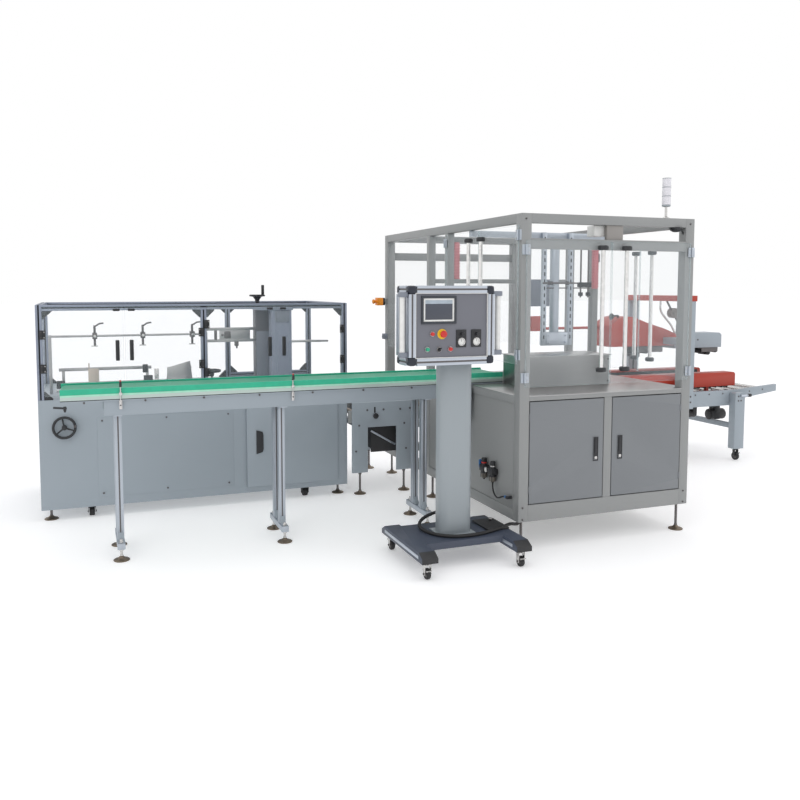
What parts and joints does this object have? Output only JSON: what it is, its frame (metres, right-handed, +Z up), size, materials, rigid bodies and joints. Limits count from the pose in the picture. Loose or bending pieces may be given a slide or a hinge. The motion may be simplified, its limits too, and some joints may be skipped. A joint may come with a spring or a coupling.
{
  "type": "side load case packer line",
  "caption": "Linked case packing line: case erector, infeed belt conveyor, guarded side load packer, case sealer and control console.",
  "frame": {"origin": "centre of the packer's front left levelling foot, on the floor", "axes": "+X along the line from erector to sealer, +Y away from the operator, +Z up"},
  "size_m": [6.345, 2.98, 2.25],
  "materials": {
    "machine_paint": "satin grey enamel",
    "blue_grey_paint": "satin light blue-grey enamel",
    "door_paint": "satin grey enamel",
    "aluminium_profile": "anodised extrusion",
    "stainless_sheet": "brushed",
    "chromed_bar": "polished",
    "zinc_steel": "zinc plated",
    "clear_acrylic": "clear sheet",
    "black_plastic": "moulded",
    "green_belt": "smooth belt",
    "green_strip": "guide strip",
    "orange_paint": "gloss enamel",
    "slate_paint": "satin enamel",
    "lamp_plastic": "translucent lens",
    "switch_orange": "moulded",
    "black_rubber": "matt"
  },
  "bodies": {
    "frame": {"air_hose": "black_rubber", "air_unit": "black_plastic", "cabinet_panels": "machine_paint", "cabinet_rails": "machine_paint", "case_lane": "machine_paint", "case_magazine": "stainless_sheet", "casters": "black_rubber", "console_box": "aluminium_profile", "console_cable": "black_rubber", "console_column": "blue_grey_paint", "conveyor_belt": "green_belt", "conveyor_drive": "blue_grey_paint", "conveyor_frame": "aluminium_profile", "conveyor_supports": "aluminium_profile", "edge_strips": "green_strip", "erector_cabinet": "blue_grey_paint", "erector_hinges": "black_plastic", "erector_posts": "aluminium_profile", "erector_rails": "aluminium_profile", "erector_sheets": "clear_acrylic", "fixed_guards": "clear_acrylic", "forming_arm": "stainless_sheet", "forming_tower": "blue_grey_paint", "head_cover": "orange_paint", "lane_rollers": "zinc_steel", "levelling_feet": "zinc_steel", "packer_hinges": "aluminium_profile", "packer_posts": "machine_paint", "packer_rails": "machine_paint", "product_lift": "aluminium_profile", "product_sensors": "black_plastic", "pusher_housing": "stainless_sheet", "sealer_bed": "blue_grey_paint", "sealer_crossbar": "orange_paint", "sealer_head": "blue_grey_paint", "sealer_legs": "blue_grey_paint", "sealer_masts": "blue_grey_paint", "sealer_rollers": "zinc_steel", "side_drives": "orange_paint", "signal_tower": "lamp_plastic", "stand_base": "slate_paint", "stop_switch": "switch_orange", "tabletop": "stainless_sheet", "transfer_plates": "blue_grey_paint"},
    "cabinet_door_left": {"cabinet_door_left": "door_paint"},
    "cabinet_door_right": {"cabinet_door_right": "door_paint"},
    "guard_left": {"guard_door_left": "clear_acrylic", "guard_handle_left": "chromed_bar"},
    "guard_right": {"guard_door_right": "clear_acrylic", "guard_handle_right": "chromed_bar"},
    "side_front": {"side_door_front": "clear_acrylic"},
    "side_rear": {"side_door_rear": "clear_acrylic"},
    "entry_front": {"entry_door_front": "clear_acrylic"},
    "entry_rear": {"entry_door_rear": "clear_acrylic"},
    "erector_a_left": {"erector_leaf_a_left": "clear_acrylic"},
    "erector_a_right": {"erector_leaf_a_right": "clear_acrylic"},
    "erector_b_left": {"erector_leaf_b_left": "clear_acrylic"},
    "erector_b_right": {"erector_leaf_b_right": "clear_acrylic"},
    "erector_door": {"erector_door": "blue_grey_paint"},
    "handwheel": {"front_handwheel": "black_plastic"}
  },
  "joints": [
    {"name": "cabinet_door_left_hinge", "type": "hinge", "parent": "frame", "child": "cabinet_door_left", "pos_m": [0.026, -0.045, 0.585], "axis": [0, 0, -1], "range_deg": [0, 105]},
    {"name": "cabinet_door_right_hinge", "type": "hinge", "parent": "frame", "child": "cabinet_door_right", "pos_m": [1.127, -0.045, 0.585], "axis": [0, 0, 1], "range_deg": [0, 105]},
    {"name": "guard_left_hinge", "type": "hinge", "parent": "frame", "child": "guard_left", "pos_m": [-0.0214, -0.0585, 1.415], "axis": [0, 0, -1], "range_deg": [0, 105]},
    {"name": "guard_right_hinge", "type": "hinge", "parent": "frame", "child": "guard_right", "pos_m": [1.1744, -0.0585, 1.415], "axis": [0, 0, 1], "range_deg": [0, 105]},
    {"name": "side_front_hinge", "type": "hinge", "parent": "frame", "child": "side_front", "pos_m": [1.2115, -0.0214, 1.415], "axis": [0, 0, -1], "range_deg": [0, 105]},
    {"name": "side_rear_hinge", "type": "hinge", "parent": "frame", "child": "side_rear", "pos_m": [1.2115, 0.988, 1.415], "axis": [0, 0, 1], "range_deg": [0, 105]},
    {"name": "entry_front_hinge", "type": "hinge", "parent": "frame", "child": "entry_front", "pos_m": [-0.0585, -0.0214, 1.525], "axis": [0, 0, 1], "range_deg": [0, 38]},
    {"name": "entry_rear_hinge", "type": "hinge", "parent": "frame", "child": "entry_rear", "pos_m": [-0.0585, 0.988, 1.525], "axis": [0, 0, -1], "range_deg": [0, 105]},
    {"name": "erector_a_left_hinge", "type": "hinge", "parent": "frame", "child": "erector_a_left", "pos_m": [-2.688, 1.6015, 1.14], "axis": [0, 0, -1], "range_deg": [0, 105]},
    {"name": "erector_a_right_hinge", "type": "hinge", "parent": "frame", "child": "erector_a_right", "pos_m": [-1.648, 1.6015, 1.14], "axis": [0, 0, 1], "range_deg": [0, 85]},
    {"name": "erector_b_left_hinge", "type": "hinge", "parent": "frame", "child": "erector_b_left", "pos_m": [-1.614, 1.6015, 1.14], "axis": [0, 0, -1], "range_deg": [0, 85]},
    {"name": "erector_b_right_hinge", "type": "hinge", "parent": "frame", "child": "erector_b_right", "pos_m": [-0.608, 1.6015, 1.14], "axis": [0, 0, 1], "range_deg": [0, 90]},
    {"name": "erector_door_hinge", "type": "hinge", "parent": "frame", "child": "erector_door", "pos_m": [-0.653, 1.595, 0.411], "axis": [0, 0, 1], "range_deg": [0, 105]},
    {"name": "handwheel_turn", "type": "hinge", "parent": "frame", "child": "handwheel", "pos_m": [-2.566, 1.59, 0.634], "axis": [0, -1, 0], "continuous": true}
  ]
}
